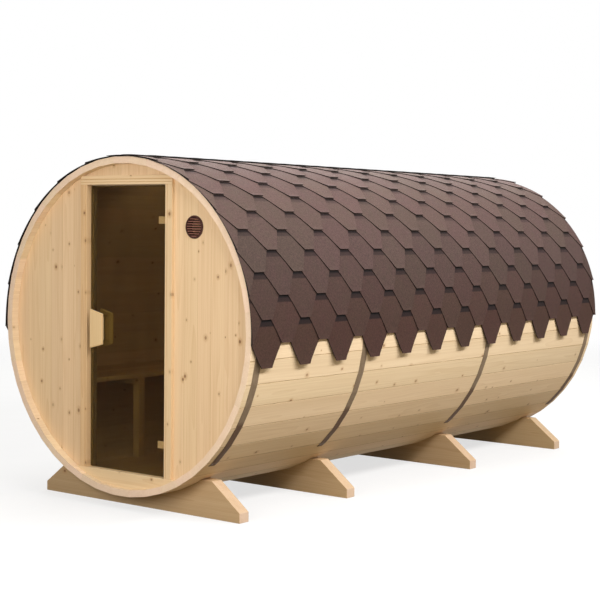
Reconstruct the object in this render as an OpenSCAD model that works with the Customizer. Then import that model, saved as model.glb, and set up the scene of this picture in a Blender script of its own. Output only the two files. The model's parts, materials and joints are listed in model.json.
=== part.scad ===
// Barrel sauna: a horizontal barrel of bevelled pine staves held by steel bands on four cradles,
// with a shingled roof skin over its upper half and a hinged glass door in its front wall.
// Frame: the barrel's axis runs along Y, the front with the door faces -Y, +Z is up,
// and the origin lies on the ground under the middle of the barrel. Sizes are in millimetres.

/* [Barrel] */
// Length of the staves, from the front ring edge to the rear one
barrel_l = 4000; // [2400:10:6000]
// Diameter over the stave corners
barrel_d = 1970; // [1900:5:2300]
// Thickness of a stave
stave_t = 40; // [28:1:55]
// Bevel along both outer edges of a stave, which makes a V groove at each joint
stave_bevel = 3; // [1:0.5:6]
// Height of the lowest stave above the ground
ground_gap = 80; // [50:1:150]
// Room between the staves and what lies on them or is fitted inside them
seat_clear = 0.1; // [0.05:0.05:0.5]
// Room between two neighbouring staves
joint_clear = 0.1; // [0.05:0.05:0.5]

/* [End walls] */
// Distance from a ring edge to the outer face of the end wall behind it
wall_recess = 52; // [45:1:140]
// Thickness of an end wall
wall_t = 40; // [28:1:55]
// Depth of the groove in the staves that holds the end walls
croze_depth = 12; // [6:1:18]
// Room left for the wall in that groove, over its edge and over its thickness
croze_clear = 0.3; // [0.1:0.1:1]

/* [Doorway] */
// Clear width between the jambs
door_w = 630; // [520:1:720]
// Height of the sill's top above the inside of the lowest stave
sill_h = 92; // [75:1:140]
// Distance from the inside of the top stave down to the top of the head
head_drop = 66; // [60:1:200]
// Width of the casing on the face of the wall
casing_w = 53; // [50:1:95]
// Height of the head's casing
head_h = 53; // [40:1:60]
// How far the casing stands proud of the wall
casing_t = 20; // [12:1:30]
// Thickness of the lining inside the opening
lining_t = 32; // [20:1:45]
// How far the lining stands past the inside of the wall
lining_proud = 14; // [0:1:30]
// Width of the stop that the glass closes towards
stop_w = 12; // [8:1:20]
// Width and depth of the grooves along the casing
casing_groove = 4; // [2:0.5:6]
// Width of the bead between the opening and the groove round it
bead_w = 12; // [8:1:16]
// Distance from the opening to the second groove along the head
head_groove_at = 28; // [22:1:35]
// Thickness of the sill's tread
sill_t = 40; // [25:1:60]

/* [Glass door] */
// Thickness of the glass
glass_t = 8; // [6:1:12]
// Depth of the glass behind the face of the casing
glass_recess = 29; // [14:1:40]
// Gap round the free edges of the glass
glass_gap = 5; // [5:0.5:10]
// Gap between the closed glass and its stop
stop_gap = 6; // [5:0.5:10]

/* [Door hinges] */
// Height of the lower hinge above the sill
hinge_low = 190; // [120:1:400]
// Depth of the upper hinge below the head
hinge_high = 203; // [120:1:400]
// Height of a hinge over its fixed ears
hinge_h = 72; // [60:1:110]
// Height of the clamp on the glass
clamp_h = 42; // [30:1:50]
// Width of the clamp on the glass
clamp_w = 52; // [35:1:80]
// Thickness of the clamp's front block
clamp_t = 8; // [8:1:16]
// Thickness of the clamp's back plate
clamp_back_t = 4; // [3:0.5:8]
// Radius of the hinge pin
pin_r = 3.5; // [2.5:0.1:4.5]
// Wall of the knuckle round the pin
knuckle_wall = 2.5; // [1.5:0.1:4]
// Running clearance between the pin and its knuckle
pin_clear = 0.05; // [0.02:0.01:0.1]
// Thickness of the hinge's plate on the jamb
leaf_t = 3; // [2:0.5:5]
// Clearance between the fixed and the moving metal of a hinge
hinge_clear = 1; // [0.5:0.1:2]
// How far the clamp's block reaches into its knuckle
clamp_root = 2; // [1:0.1:2.4]
// How far the glass reaches past the hinge's axis
glass_past = 2; // [0:0.5:3]

/* [Door handles] */
// Width of a handle board
handle_w = 104; // [60:1:130]
// Height of a handle board at its outer edge
handle_h_outer = 232; // [150:1:320]
// Height of a handle board at its inner edge
handle_h_inner = 180; // [120:1:260]
// Thickness of a handle board
handle_t = 15; // [12:1:25]
// Distance from the glass to a handle board
handle_standoff = 33; // [28:1:45]
// Distance from the jamb's edge to the handle's outer edge
handle_inset = 42; // [21:1:80]
// Height of the handle's middle above the sill
handle_up = 830; // [600:1:1000]
// Width of the spacer block behind a handle board
spacer_w = 36; // [25:1:50]
// Height of the spacer block
spacer_h = 140; // [90:1:170]
// Distance from the handle's inner edge to the spacer
spacer_inset = 30; // [2:1:45]

/* [Vent] */
// Diameter of the hole through the wall
vent_hole_d = 116; // [80:1:140]
// Width of the grille's flange beyond the hole
vent_flange_w = 7; // [5:1:25]
// Distance from the vent's middle to the inside of the staves
vent_inset = 160; // [110:1:220]
// Gap between the door's casing and the vent's flange
vent_gap = 88; // [20:1:120]
// Thickness of the grille's flange
vent_flange_t = 9; // [5:0.5:15]
// Clearance between the grille's collar and the hole
vent_clear = 0.3; // [0.2:0.1:1]
// Wall of the grille's collar
vent_collar_t = 3; // [2:0.5:6]
// Thickness of one louvre slat
slat_t = 3; // [2:0.5:5]
// Number of louvre slats
slat_count = 8; // [5:1:9]
// Tilt of the louvre slats from level
slat_tilt = 40; // [20:1:50]

/* [Floor] */
// Height of the deck's top above the inside of the lowest stave
floor_h = 88; // [60:1:90]
// Thickness of the deck
deck_t = 28; // [18:1:35]
// Width of one joist
joist_w = 45; // [30:1:80]
// Number of joists
joist_count = 6; // [3:1:9]

/* [Bench] */
// Height of the seat above the deck
bench_h = 527; // [400:1:600]
// Distance from the barrel's axis to the seat's front edge
bench_x = 345; // [300:1:420]
// Thickness of the seat slats
seat_t = 28; // [20:1:40]
// Gap between the seat slats
seat_slat_gap = 12; // [6:1:20]
// Number of seat slats
seat_slats = 5; // [2:1:8]
// Gap between the last slat and the staves
seat_wall_gap = 20; // [10:1:60]
// Side of the square posts
post_w = 50; // [38:1:70]
// Height and width of the bearers under the seat
bearer_w = 45; // [35:1:60]
// Number of posts and bearers
post_count = 4; // [2:1:6]
// Distance from an end wall to the nearest post's middle
post_inset = 440; // [200:10:600]
// Gap between the seat's ends and the lining and rear wall
seat_end_gap = 20; // [5:1:60]

/* [Cradles] */
// Thickness of a cradle along the barrel
cradle_t = 80; // [60:1:120]
// Half of a cradle's width over the ground
cradle_half_w = 787; // [720:1:940]
// Height of a cradle's end faces
cradle_end_h = 57; // [40:1:80]
// Half of the width over the cradle's shoulders
cradle_shoulder = 580; // [560:1:700]
// Height of the cradle's shoulders
cradle_h = 215; // [180:1:260]
// Distance from the front ring edge to the first cradle's middle
cradle_at_1 = 187; // [120:1:400]
// Distance from the front ring edge to the second cradle's middle
cradle_at_2 = 1199; // [800:1:1600]
// Distance from the rear ring edge to the third cradle's middle
cradle_at_3 = 1366; // [800:1:1600]
// Distance from the rear ring edge to the fourth cradle's middle
cradle_at_4 = 153; // [120:1:400]

/* [Bands] */
// Width of a steel band
band_w = 52; // [30:1:80]
// Thickness of a steel band
band_t = 2; // [1:0.5:4]
// Angle from the top at which a band ends on each side
band_end = 139; // [125:1:142]
// Distance from the front ring edge to the first band's middle
band_at_1 = 68; // [40:1:90]
// Distance from the front ring edge to the second band's middle
band_at_2 = 1060; // [700:1:1500]
// Distance from the rear ring edge to the third band's middle
band_at_3 = 1505; // [700:1:1600]
// Distance from the rear ring edge to the fourth band's middle
band_at_4 = 65; // [40:1:90]

/* [Roof] */
// Thickness of the roof skin
roof_t = 8; // [6:1:20]
// How far the roof skin stands past the ring edges
roof_overhang = 8; // [0:1:30]
// Angle from the top at which the lowest tabs end
eave_angle = 100.5; // [96:0.5:120]
// Angle from the top at which the notches between the lowest tabs end
notch_angle = 93; // [90.5:0.1:95]
// Distance between the middles of two tabs
tab_pitch = 340; // [250:1:500]
// Distance from the roof's front edge to the first tab's middle
tab_start = 128; // [100:1:240]
// Width of a tab's lower edge
tab_w = 90; // [60:1:120]
// Width of a notch at its upper end
notch_w = 82; // [50:1:110]
// Room between a band and the groove over it
band_clear = 0.2; // [0.1:0.1:1]

/* [Hidden] */

// The staves make a regular ring with one stave level at the top and one at the bottom
stave_count = 46;
stave_angle = 360 / stave_count;
half_angle = stave_angle / 2;
outer_r = barrel_d / 2 * cos(half_angle);
inner_r = outer_r - stave_t;
axis_z = ground_gap + outer_r;
inside_z = axis_z - inner_r;
half_l = barrel_l / 2;
over_r = outer_r + seat_clear;
within_r = inner_r - seat_clear;

// A length past every part, the reach of a cut past the faces it goes through, and sides of rounds
far = barrel_d;
cut_margin = 1;
round_sides = 96;
pin_sides = 48;

// Places along the barrel, counted from the front
front_wall_y = -half_l + wall_recess;
front_wall_in_y = front_wall_y + wall_t;
casing_y = front_wall_y - casing_t;
lining_y = front_wall_in_y + lining_proud;
back_wall_y = half_l - wall_recess;
back_wall_in_y = back_wall_y - wall_t;
glass_y = casing_y + glass_recess;
glass_back_y = glass_y + glass_t;
stop_y = glass_back_y + stop_gap;

// The doorway
door_half_w = door_w / 2;
rough_half_w = door_half_w + lining_t;
casing_half_w = door_half_w + casing_w;
sill_z = inside_z + sill_h;
head_top_z = axis_z + inner_r - head_drop;
head_z = head_top_z - head_h;
rough_top_z = head_z + lining_t;
rough_bottom_z = sill_z - sill_t;
handle_z = sill_z + handle_up;
vent_d = vent_hole_d + 2 * vent_flange_w;
vent_x = casing_half_w + vent_gap + vent_d / 2;
vent_z = axis_z + sqrt(pow(inner_r - vent_inset, 2) - pow(vent_x, 2));

// The hinge's axis stands in front of the glass, beside the right jamb
knuckle_r = pin_r + knuckle_wall;
hinge_x = door_half_w - leaf_t - hinge_clear - knuckle_r;
hinge_y = glass_y - knuckle_r - hinge_clear;
hinge_zs = [sill_z + hinge_low, head_z - hinge_high];
ear_h = (hinge_h - clamp_h) / 2 - hinge_clear;

// The floor and the bench, whose slats fill the room between its front edge and the staves
floor_z = inside_z + floor_h;
bench_z = floor_z + bench_h;
bearer_top_z = bench_z - seat_t;
bearer_z = bearer_top_z - bearer_w;
seat_back_x = sqrt(pow(inner_r, 2) - pow(axis_z - bearer_top_z, 2)) - seat_wall_gap;
seat_slat_pitch = (seat_back_x - bench_x + seat_slat_gap) / seat_slats;
seat_slat_w = seat_slat_pitch - seat_slat_gap;
post_pitch = (back_wall_in_y - front_wall_in_y - 2 * post_inset) / (post_count - 1);

wood = "#e6c79a";
wood_end = "#d9b585";
steel = "#55493f";
shingle = "#54393a";
brass = "#a98b52";
grille = "#5b2f22";

// Points of the regular ring polygon whose flats lie at radius r from the barrel's axis
function ring_points(r) = [
    for (i = [0 : stave_count - 1])
        let (a = (i + 0.5) * stave_angle, rc = r / cos(half_angle))
        [rc * sin(a), axis_z + rc * cos(a)]
];

// A flat shape in X and Z, made solid from y0 to y1
module along_y(y0, y1) {
    translate([0, y1, 0]) rotate([90, 0, 0]) linear_extrude(y1 - y0) children();
}

// A flat shape in X and Y, made solid from z0 to z1
module along_z(z0, z1) {
    translate([0, 0, z0]) linear_extrude(z1 - z0) children();
}

// A box between two corners
module box(low, high) {
    translate(low) cube(high - low);
}

// Everything below two rays that leave the axis at the given angle from the top
module below_rays(angle) {
    polygon([
        [0, axis_z],
        [far * sin(angle), axis_z + far * cos(angle)],
        [far, axis_z - far],
        [-far, axis_z - far],
        [-far * sin(angle), axis_z + far * cos(angle)]
    ]);
}

// One stave: a bevelled board with a groove near each end for the end walls
module stave(index) {
    side = tan(half_angle);
    bevel_r = outer_r - stave_bevel;
    inner_half_w = inner_r * side - joint_clear / 2;
    bevel_half_w = bevel_r * side - joint_clear / 2;
    outer_half_w = outer_r * side;
    face_half_w = outer_half_w - stave_bevel;
    translate([0, 0, axis_z]) rotate([0, index * stave_angle, 0]) difference() {
        along_y(-half_l, half_l) polygon([
            [-inner_half_w, inner_r],
            [inner_half_w, inner_r],
            [bevel_half_w, bevel_r],
            [face_half_w, outer_r],
            [-face_half_w, outer_r],
            [-bevel_half_w, bevel_r]
        ]);
        for (y = [front_wall_y, back_wall_in_y])
            box([-outer_half_w, y - croze_clear / 2, inner_r - croze_depth],
                [outer_half_w, y + wall_t + croze_clear / 2, inner_r + croze_depth]);
    }
}

// Every second stave from the first index to the last
module stave_set(first, last) {
    color(wood) for (i = [first : 2 : last]) stave(i);
}

top_first = -5;
right_first = 6;
bottom_first = 18;
left_first = 29;
left_last = 40;

module staves_top_even() { stave_set(top_first + 1, right_first - 1); }
module staves_top_odd() { stave_set(top_first, right_first - 1); }
module staves_right_even() { stave_set(right_first, bottom_first - 1); }
module staves_right_odd() { stave_set(right_first + 1, bottom_first - 1); }
module staves_bottom_even() { stave_set(bottom_first, left_first - 1); }
module staves_bottom_odd() { stave_set(bottom_first + 1, left_first - 1); }
module staves_left_even() { stave_set(left_first + 1, left_last); }
module staves_left_odd() { stave_set(left_first, left_last); }

// The flat outline of an end wall, which reaches into the groove of the staves
module wall_outline() {
    polygon(ring_points(inner_r + croze_depth - croze_clear));
}

// A part of the front wall between the given sides and heights
module front_wall_piece(x0, x1, z0, z1) {
    color(wood) along_y(front_wall_y, front_wall_in_y) intersection() {
        wall_outline();
        translate([x0, z0]) square([x1 - x0, z1 - z0]);
    }
}

module front_wall_left() { front_wall_piece(-far, -rough_half_w, 0, 2 * far); }

module front_wall_right() {
    color(wood) difference() {
        front_wall_piece(rough_half_w, far, 0, 2 * far);
        translate([vent_x, front_wall_y - cut_margin, vent_z]) rotate([-90, 0, 0])
            cylinder(d = vent_hole_d, h = wall_t + 2 * cut_margin, $fn = round_sides);
    }
}

module front_wall_top() { front_wall_piece(-rough_half_w, rough_half_w, rough_top_z, 2 * far); }

module front_wall_bottom() { front_wall_piece(-rough_half_w, rough_half_w, 0, rough_bottom_z); }

module back_wall() {
    color(wood) along_y(back_wall_in_y, back_wall_y) wall_outline();
}

// Section of the door frame: casing with V grooves at the given places, lining and stop.
// X runs outwards from the clear opening and Y runs inwards from the front.
module frame_section(casing, grooves) {
    groove_points = [
        for (x = grooves)
            each [
                [x, casing_y],
                [x + casing_groove / 2, casing_y + casing_groove],
                [x + casing_groove, casing_y]
            ]
    ];
    polygon([
        [0, casing_y],
        each groove_points,
        [casing, casing_y],
        [casing, front_wall_y],
        [lining_t, front_wall_y],
        [lining_t, lining_y],
        [-stop_w, lining_y],
        [-stop_w, stop_y],
        [0, stop_y]
    ]);
}

// The room inside the staves between two places along the barrel
module inside_ring(y0, y1) {
    along_y(y0, y1) polygon(ring_points(within_r));
}

module door_jamb_right() {
    color(wood) intersection() {
        along_z(sill_z, head_z) translate([door_half_w, 0]) frame_section(casing_w, [bead_w]);
        inside_ring(casing_y - cut_margin, lining_y + cut_margin);
    }
}

module door_jamb_left() {
    mirror([1, 0, 0]) door_jamb_right();
}

// The head: its casing runs over both jambs, with corners cut to the staves, and its lining and stop
// lie between the walls
module door_head() {
    color(wood) intersection() {
        translate([-casing_half_w, 0, head_z]) rotate([90, 0, 90])
            linear_extrude(2 * casing_half_w) rotate(90) mirror([0, 1])
                frame_section(head_h, [bead_w, head_groove_at]);
        union() {
            box([-casing_half_w, casing_y, head_z], [casing_half_w, front_wall_y, head_z + head_h]);
            box([-rough_half_w, front_wall_y, head_z], [rough_half_w, lining_y, rough_top_z]);
            box([-door_half_w + stop_w, stop_y, head_z - stop_w],
                [door_half_w - stop_w, lining_y, head_z]);
        }
        inside_ring(casing_y - cut_margin, lining_y + cut_margin);
    }
}

// The sill: a segment board in front of the wall with a tread between the jambs
module door_sill() {
    color(wood) union() {
        along_y(casing_y, front_wall_y) intersection() {
            polygon(ring_points(within_r));
            translate([-far, 0]) square([2 * far, sill_z]);
        }
        along_y(front_wall_y, lining_y) intersection() {
            polygon(ring_points(within_r));
            translate([-rough_half_w, rough_bottom_z]) square([2 * rough_half_w, sill_t]);
        }
    }
}

// The vent: a bevelled flange with a collar in the wall and tilted louvre slats
module vent_grille() {
    collar_r = vent_hole_d / 2 - vent_clear;
    opening_r = collar_r - vent_collar_t;
    bevel = vent_flange_t / 2;
    slat_pitch = 2 * opening_r / slat_count;
    slat_depth = slat_pitch;
    color(grille) translate([vent_x, front_wall_y, vent_z]) rotate([90, 0, 0]) {
        rotate_extrude($fn = round_sides) polygon([
            [opening_r, -wall_t],
            [collar_r, -wall_t],
            [collar_r, 0],
            [vent_d / 2, 0],
            [vent_d / 2, vent_flange_t - bevel],
            [vent_d / 2 - bevel, vent_flange_t],
            [opening_r, vent_flange_t]
        ]);
        intersection() {
            translate([0, 0, -wall_t])
                cylinder(r = opening_r + vent_collar_t / 2, h = 2 * wall_t, $fn = round_sides);
            for (i = [0 : slat_count - 1])
                translate([0, (i + 0.5) * slat_pitch - opening_r, 0]) rotate([slat_tilt, 0, 0])
                    cube([2 * collar_r, slat_t, slat_depth], center = true);
        }
    }
}

// The deck fits between the staves and lies on joists cut to the barrel's inside
module floor_deck() {
    color(wood) along_y(lining_y, back_wall_in_y) intersection() {
        polygon(ring_points(within_r));
        translate([-far, floor_z - deck_t]) square([2 * far, deck_t]);
    }
}

module floor_joists() {
    first_y = lining_y + joist_w;
    last_y = back_wall_in_y - 2 * joist_w;
    pitch = (last_y - first_y) / (joist_count - 1);
    color(wood) for (i = [0 : joist_count - 1])
        along_y(first_y + i * pitch, first_y + i * pitch + joist_w) intersection() {
            polygon(ring_points(within_r));
            translate([-far, 0]) square([2 * far, floor_z - deck_t]);
        }
}

// The bench along the left side: slats on bearers, each with a post under its front end
module bench_seat() {
    color(wood) for (i = [0 : seat_slats - 1])
        let (x = -bench_x - i * seat_slat_pitch)
        box([x - seat_slat_w, lining_y + seat_end_gap, bearer_top_z],
            [x, back_wall_in_y - seat_end_gap, bench_z]);
}

module bench_bearers() {
    color(wood_end) for (i = [0 : post_count - 1])
        let (y = front_wall_in_y + post_inset + i * post_pitch)
        along_y(y - bearer_w / 2, y + bearer_w / 2) intersection() {
            polygon(ring_points(within_r));
            translate([-far, bearer_z]) square([far - bench_x, bearer_w]);
        }
}

module bench_posts() {
    color(wood_end) for (i = [0 : post_count - 1])
        let (y = front_wall_in_y + post_inset + i * post_pitch)
        along_y(y - post_w / 2, y + post_w / 2) intersection() {
            polygon(ring_points(within_r));
            translate([-bench_x - post_w, floor_z]) square([post_w, bearer_z - floor_z]);
        }
}

// A cradle: a plank with sloped ends whose seat follows the staves
module cradle(y) {
    color(wood_end) along_y(y - cradle_t / 2, y + cradle_t / 2) difference() {
        polygon([
            [-cradle_half_w, 0],
            [cradle_half_w, 0],
            [cradle_half_w, cradle_end_h],
            [cradle_shoulder, cradle_h],
            [-cradle_shoulder, cradle_h],
            [-cradle_half_w, cradle_end_h]
        ]);
        polygon(ring_points(over_r));
    }
}

module cradle_front() { cradle(-half_l + cradle_at_1); }
module cradle_mid_front() { cradle(-half_l + cradle_at_2); }
module cradle_mid_rear() { cradle(half_l - cradle_at_3); }
module cradle_rear() { cradle(half_l - cradle_at_4); }

band_ys = [-half_l + band_at_1, -half_l + band_at_2, half_l - band_at_3, half_l - band_at_4];

// A flat band that lies on the staves down to the band's end on each side
module band(y) {
    color(steel) along_y(y - band_w / 2, y + band_w / 2) difference() {
        polygon(ring_points(over_r + band_t));
        polygon(ring_points(over_r));
        below_rays(band_end);
    }
}

module band_front() { band(band_ys[0]); }
module band_mid_front() { band(band_ys[1]); }
module band_mid_rear() { band(band_ys[2]); }
module band_rear() { band(band_ys[3]); }

// The roof skin: an arc over the staves with tabbed eaves and a groove over each band
module roof_skin() {
    roof_y = -half_l - roof_overhang;
    roof_l = barrel_l + 2 * roof_overhang;
    eave_z = axis_z + outer_r * cos(eave_angle);
    notch_z = axis_z + outer_r * cos(notch_angle);
    slope = ((tab_pitch - tab_w) - notch_w) / 2 / (notch_z - eave_z);
    below = roof_t;
    low_half_w = (tab_pitch - tab_w) / 2 + slope * below;
    notches = ceil(roof_l / tab_pitch);
    color(shingle) difference() {
        along_y(roof_y, roof_y + roof_l) difference() {
            polygon(ring_points(over_r + roof_t));
            polygon(ring_points(over_r));
            below_rays(eave_angle);
        }
        for (y = band_ys)
            along_y(y - band_w / 2 - band_clear, y + band_w / 2 + band_clear)
                polygon(ring_points(over_r + band_t + band_clear));
        for (i = [0 : notches])
            translate([-far, roof_y + tab_start + (i - 0.5) * tab_pitch, 0])
                rotate([90, 0, 90]) linear_extrude(2 * far) polygon([
                    [-notch_w / 2, notch_z],
                    [notch_w / 2, notch_z],
                    [low_half_w, eave_z - below],
                    [-low_half_w, eave_z - below]
                ]);
    }
}

// The fixed half of each hinge: a plate on the jamb with two ears and the pin
module hinge_leaves() {
    color(brass) for (z = hinge_zs) {
        box([door_half_w - leaf_t, hinge_y, z - hinge_h / 2],
            [door_half_w, glass_back_y, z + hinge_h / 2]);
        translate([hinge_x, hinge_y, z - hinge_h / 2]) cylinder(r = pin_r, h = hinge_h, $fn = pin_sides);
        for (ear_z = [z - hinge_h / 2, z + hinge_h / 2 - ear_h]) {
            translate([hinge_x, hinge_y, ear_z]) cylinder(r = knuckle_r, h = ear_h, $fn = pin_sides);
            box([hinge_x, hinge_y - knuckle_r, ear_z],
                [door_half_w - leaf_t, hinge_y + knuckle_r, ear_z + ear_h]);
        }
    }
}

// The moving half of each hinge: a knuckle on the pin, a block on the glass and a plate behind it
module hinge_clamps() {
    clamp_x = hinge_x - knuckle_r - clamp_w;
    color(brass) for (z = hinge_zs) {
        difference() {
            union() {
                translate([hinge_x, hinge_y, z - clamp_h / 2])
                    cylinder(r = knuckle_r, h = clamp_h, $fn = pin_sides);
                box([clamp_x, glass_y - clamp_t, z - clamp_h / 2],
                    [hinge_x - knuckle_r + clamp_root, glass_y, z + clamp_h / 2]);
            }
            translate([hinge_x, hinge_y, z - clamp_h])
                cylinder(r = pin_r + pin_clear, h = 2 * clamp_h, $fn = pin_sides);
        }
        box([clamp_x, glass_back_y, z - clamp_h / 2],
            [hinge_x - knuckle_r, glass_back_y + clamp_back_t, z + clamp_h / 2]);
    }
}

// The leaf of glass, which reaches just past the hinge's axis
module door_glass() {
    color("#4a3a2ca0") box(
        [-door_half_w + glass_gap, glass_y, sill_z + glass_gap],
        [hinge_x + glass_past, glass_back_y, head_z - glass_gap]);
}

// A handle: a tapered board on a spacer block, made in front of the plane y = 0
module handle() {
    outer_x = -door_half_w + handle_inset;
    inner_x = outer_x + handle_w;
    z = handle_z;
    color(wood) union() {
        along_y(-handle_standoff - handle_t, -handle_standoff) polygon([
            [outer_x, z - handle_h_outer / 2],
            [inner_x, z - handle_h_inner / 2],
            [inner_x, z + handle_h_inner / 2],
            [outer_x, z + handle_h_outer / 2]
        ]);
        box([inner_x - spacer_inset - spacer_w, -handle_standoff, z - spacer_h / 2],
            [inner_x - spacer_inset, 0, z + spacer_h / 2]);
    }
}

module handle_outer() {
    translate([0, glass_y, 0]) handle();
}

module handle_inner() {
    translate([0, glass_back_y, 0]) mirror([0, 1, 0]) handle();
}

staves_top_even();
staves_top_odd();
staves_right_even();
staves_right_odd();
staves_bottom_even();
staves_bottom_odd();
staves_left_even();
staves_left_odd();
front_wall_left();
front_wall_right();
front_wall_top();
front_wall_bottom();
back_wall();
door_jamb_left();
door_jamb_right();
door_head();
door_sill();
vent_grille();
floor_deck();
floor_joists();
bench_seat();
bench_bearers();
bench_posts();
cradle_front();
cradle_mid_front();
cradle_mid_rear();
cradle_rear();
band_front();
band_mid_front();
band_mid_rear();
band_rear();
roof_skin();
hinge_leaves();
door_glass();
hinge_clamps();
handle_outer();
handle_inner();
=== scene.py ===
"""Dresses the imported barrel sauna: planed pine boards, hexagonal shingles, steel bands and bronze glass."""
import json
import math
import random

import bmesh
import bpy
from mathutils import Matrix, Vector

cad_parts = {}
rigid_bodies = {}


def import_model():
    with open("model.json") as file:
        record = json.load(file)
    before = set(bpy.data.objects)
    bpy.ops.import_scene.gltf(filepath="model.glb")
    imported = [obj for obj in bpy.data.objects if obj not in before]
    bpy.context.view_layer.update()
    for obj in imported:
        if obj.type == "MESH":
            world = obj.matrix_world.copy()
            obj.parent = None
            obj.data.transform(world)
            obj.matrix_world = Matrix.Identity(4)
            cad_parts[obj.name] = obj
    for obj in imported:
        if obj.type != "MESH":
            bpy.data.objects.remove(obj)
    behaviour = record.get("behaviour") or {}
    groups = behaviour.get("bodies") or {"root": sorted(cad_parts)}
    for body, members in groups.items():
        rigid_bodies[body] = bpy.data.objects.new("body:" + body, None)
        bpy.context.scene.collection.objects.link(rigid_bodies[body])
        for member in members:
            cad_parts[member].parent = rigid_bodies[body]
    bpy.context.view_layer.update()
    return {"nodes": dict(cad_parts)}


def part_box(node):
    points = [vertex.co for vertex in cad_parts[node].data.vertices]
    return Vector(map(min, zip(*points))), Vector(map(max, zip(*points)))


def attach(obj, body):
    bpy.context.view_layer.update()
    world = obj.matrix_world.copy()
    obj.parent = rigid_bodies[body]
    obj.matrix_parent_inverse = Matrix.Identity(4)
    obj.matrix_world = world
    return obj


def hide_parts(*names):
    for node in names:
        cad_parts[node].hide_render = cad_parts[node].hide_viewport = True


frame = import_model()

# Bodies and nodes of the frame
BODY = "building"
DOOR = "door"
STAVE_NODES = [
    f"staves_{side}_{turn}" for side in ("top", "right", "bottom", "left") for turn in ("even", "odd")]
BAND_NODES = ["band_front", "band_mid_front", "band_mid_rear", "band_rear"]
CRADLE_NODES = ["cradle_front", "cradle_mid_front", "cradle_mid_rear", "cradle_rear"]

# Places and sizes read from the frame, in metres, with the count of staves from the part's source
STAVE_COUNT = 46
STAVE_ANGLE = 2 * math.pi / STAVE_COUNT
ring_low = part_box("staves_bottom_odd")[0]
ring_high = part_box("staves_top_even")[1]
AXIS_Z = (ring_low.z + ring_high.z) / 2
STAVE_R = (ring_high.z - ring_low.z) / 2
CORNER_R = STAVE_R / math.cos(STAVE_ANGLE / 2)
BAND_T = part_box("band_front")[1].z - ring_high.z
roof_low, roof_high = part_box("roof_skin")
vent_low, vent_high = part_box("vent_grille")

# Vent: width of its rim, thickness of its flange and depth of its tilted louvres, as in the part's source
VENT_RIM = 0.0105
VENT_FLANGE = 0.009
SLAT_DEPTH = 0.0115
SLAT_FRONT = vent_low.y + VENT_FLANGE - SLAT_DEPTH / 2

# Mesh work: distance that merges points, angle of a flat joint, angle and form of an edge that is eased,
# and how far the outer cuts of a sawn mesh lie past its ends
MERGE = 1e-6
FLAT = math.radians(1)
SHARP = math.radians(25)
ROUNDNESS = 0.6
PAST_ENDS = 1.0

# Woodwork: pitches of the boards and widths of their eased edges
BOARD_PITCH = 0.1
DECK_PITCH = 0.0955
DECK_GAP = 0.004
STAVE_EDGE = 0.0012
BOARD_EDGE = 0.0013
FRAME_EDGE = 0.0016
BENCH_EDGE = 0.003
GRIP_EDGE = 0.006
CRADLE_EDGE = 0.003
GLASS_EDGE = 0.001
METAL_EDGE = 0.0008
BAND_EDGE = 0.0006

# Grain: how far a face turns endwise before it shows end grain, how square a face is that isn't a seam's
# bevel, where the pith lies beside a board, and how close the rings are
END_GRAIN = 0.3
SQUARE_ON = 0.96
PITH_ASIDE = 0.03
PITH_NEAR = 0.05
PITH_FAR = 0.12
TRUNK_LENGTH = 60
RINGS_A_METRE = 150.0

# Knots, the boards' casts and the tint of their seams, darkened by grime in the joints and by painted shade
# in the grooves
KNOT_CELL = 0.17
KNOT_SQUEEZE = 0.8
KNOT_SMALL = 0.003
KNOT_LARGE = 0.009
KNOT_RAGGED = 0.003
KNOT_HALO = (0.45, 0.235, 0.09)
KNOT_CORE = (0.20, 0.095, 0.038)
PINKISH = (1.012, 0.985, 0.995)
YELLOWISH = (0.99, 1.006, 0.955)
SEAM_TINT = (1.0, 0.94, 0.84)

# Shingles: courses counted up from the eave, angles measured from the top of the barrel, and the lap of the
# right slope (1) and the left slope (-1)
COURSES = 13
EAVE = math.radians(100.0)
EXPOSURE = math.radians(7.54)
HANG = math.radians(91.5)
TAB_PITCH = 0.34
TAB_LOW = 0.0445
TAB_HIGH = 0.129
FIRST_TAB = 0.127
COURSE_TOP = 2.12
LAP = {1: 0.014, -1: 0.0095}
TAB_FALL = 0.65
TAB_CURL = 0.5
SHEET = 0.006
THINNEST = 0.0003
ROOF_CLEAR = 0.0004
SHINGLE_R = CORNER_R + BAND_T + ROOF_CLEAR
TAB_ROWS = 6
RIDGE_HALF = math.radians(6.8)
RIDGE_PITCH = 0.17
RIDGE_LENGTH = 0.25
RIDGE_STEPS = 12
RIDGE_SHEET = 0.002
RIDGE_LAP = 0.0025

# Granules of the shingles, and tints for the lowest courses and for what lies under an upper tab: print and
# painted shadow
GRANULE_SCALE = 420.0
GRANULE_BROWN = (0.0724, 0.0464, 0.0371)
GRANULE_RED = (0.0766, 0.0434, 0.0391)
EAVE_TINT = (0.99, 0.76, 0.66)
PRINT_AND_SHADOW_TINT = (0.22, 0.20, 0.26)
CONTACT_SHADOW_TINT = (0.22, 0.18, 0.20)
SHEEN_TINT = (1.0, 0.86, 0.82)
BITUMEN_DARK = (0.007, 0.004, 0.003)
BITUMEN_PALE = (0.022, 0.013, 0.010)

# Screws that hold the ends of the bands
SCREW_R = 0.006
SCREW_H = 0.0022
SCREW_SIDES = 16
SCREW_TOP_SHARE = 0.7
SCREW_RIM_SHARE = 0.3
SCREW_DISH_SHARE = 0.4
SCREW_FACING = 0.9
SCREW_FROM_END = math.radians(1.5)
SCREW_OFF = 0.017
BAND_END = math.radians(139)

# Heights between which the bands' painted shade fades out, where they turn under the barrel
PAINTED_SHADE_LOW = AXIS_Z + STAVE_R * math.cos(math.radians(121))
PAINTED_SHADE_HIGH = AXIS_Z + STAVE_R * math.cos(math.radians(118.5))

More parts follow.
